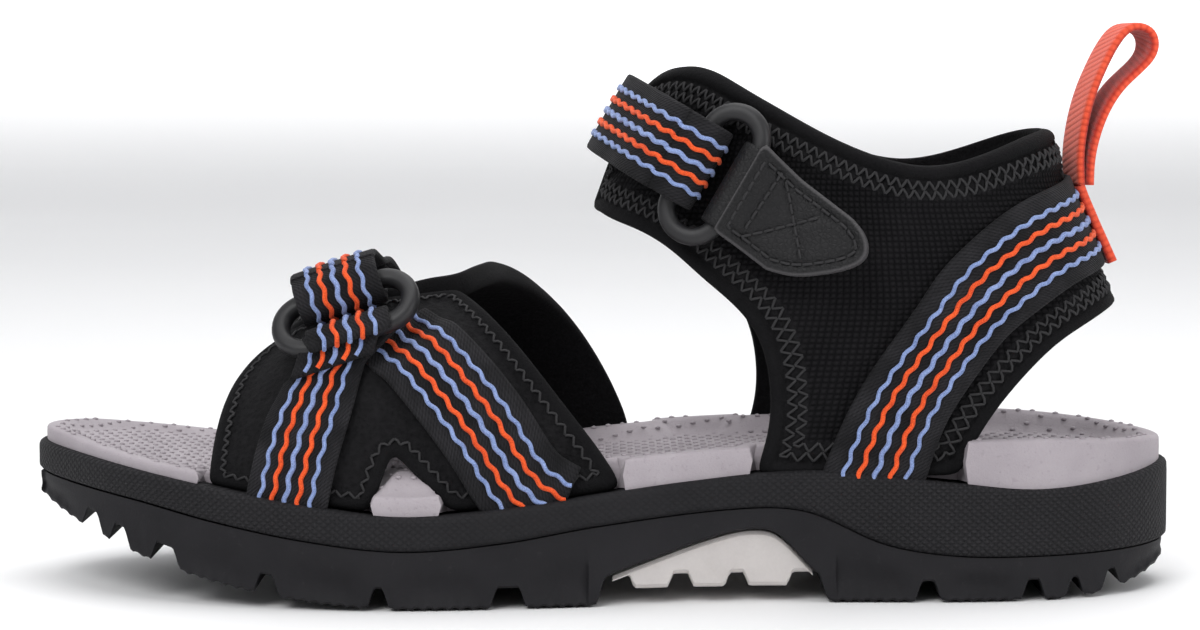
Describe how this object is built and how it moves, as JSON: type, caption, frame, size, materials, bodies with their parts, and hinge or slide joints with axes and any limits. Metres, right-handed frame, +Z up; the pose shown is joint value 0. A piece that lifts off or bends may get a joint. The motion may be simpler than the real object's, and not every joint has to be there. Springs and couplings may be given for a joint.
{
  "type": "sport sandal",
  "caption": "Left strappy sport sandal with a lugged sole, striped webbing, two ring-and-strap closures, padded heel collar and a pull loop.",
  "frame": {"origin": "on the ground, under the middle of the sandal's bounding box", "axes": "+Z up, the heel along +X and the toe along -X, the outer side of this left sandal along -Y"},
  "size_m": [0.2, 0.0796, 0.0979],
  "materials": {
    "outsole": "matt black moulded rubber",
    "shank": "matt light grey rubber",
    "midsole": "matt black foam with a fine moulded texture",
    "board": "pressed fibre",
    "footbed": "matt lilac-grey foam",
    "lining": "brushed black knit over thin foam",
    "upper_cloth": "black mesh and rolled black edging",
    "webbing": "black woven webbing with blue and orange wavy stripes",
    "hook_and_loop": "black hook-and-loop tape",
    "ring": "matt black moulded plastic",
    "leather": "black coated leather, stitched",
    "loop": "red-orange ribbed webbing"
  },
  "bodies": {
    "sandal": {"outsole": "outsole", "shank_plate": "shank", "midsole": "midsole", "lasting_board": "board", "footbed": "footbed", "vamp_outer_lining": "lining", "vamp_inner_lining": "lining", "quarter_outer_lining": "lining", "quarter_inner_lining": "lining", "vamp_outer_field": "upper_cloth", "vamp_inner_field": "upper_cloth", "quarter_outer_field": "upper_cloth", "quarter_inner_field": "upper_cloth", "vamp_outer_trim": "upper_cloth", "vamp_inner_trim": "upper_cloth", "quarter_outer_trim": "upper_cloth", "quarter_inner_trim": "upper_cloth", "front_webbing_outer": "webbing", "rear_webbing_outer": "webbing", "rear_webbing_inner": "webbing", "front_strap": "webbing", "heel_webbing": "webbing", "ankle_strap": "webbing", "front_loop_patch": "hook_and_loop", "ankle_loop_patch": "hook_and_loop", "ring_tab": "leather", "pull_loop_tail": "loop"},
    "front_ring": {"front_ring": "ring"},
    "ankle_ring": {"ankle_ring": "ring"},
    "front_tip": {"front_strap_tip": "webbing", "front_hook_patch": "hook_and_loop"},
    "ankle_tip": {"ankle_strap_tip": "webbing", "ankle_hook_patch": "hook_and_loop"},
    "pull_loop": {"pull_loop": "loop"}
  },
  "joints": [
    {"name": "front_strap_peel", "type": "hinge", "parent": "sandal", "child": "front_tip", "pos_m": [-0.0439, -0.02402, 0.0522], "axis": [0.9511, 0, 0.309], "range_deg": [0, 100]},
    {"name": "ankle_strap_peel", "type": "hinge", "parent": "sandal", "child": "ankle_tip", "pos_m": [0.01529, -0.02597, 0.07446], "axis": [0.5045, 0, 0.8634], "range_deg": [0, 100]},
    {"name": "front_ring_swivel", "type": "hinge", "parent": "sandal", "child": "front_ring", "pos_m": [-0.04167, -0.03006, 0.04535], "axis": [0.9511, 0, 0.309], "range_deg": [-3, 3]},
    {"name": "ankle_ring_swivel", "type": "hinge", "parent": "sandal", "child": "ankle_ring", "pos_m": [0.02305, -0.02872, 0.06993], "axis": [0.5045, 0, 0.8634], "range_deg": [-3, 3]},
    {"name": "pull_loop_flex", "type": "hinge", "parent": "sandal", "child": "pull_loop", "pos_m": [0.086, 0.00125, 0.0698], "axis": [-0.1564, 0.9877, 0], "range_deg": [0, 95], "stiffness_Nm_per_rad": 0.004}
  ]
}
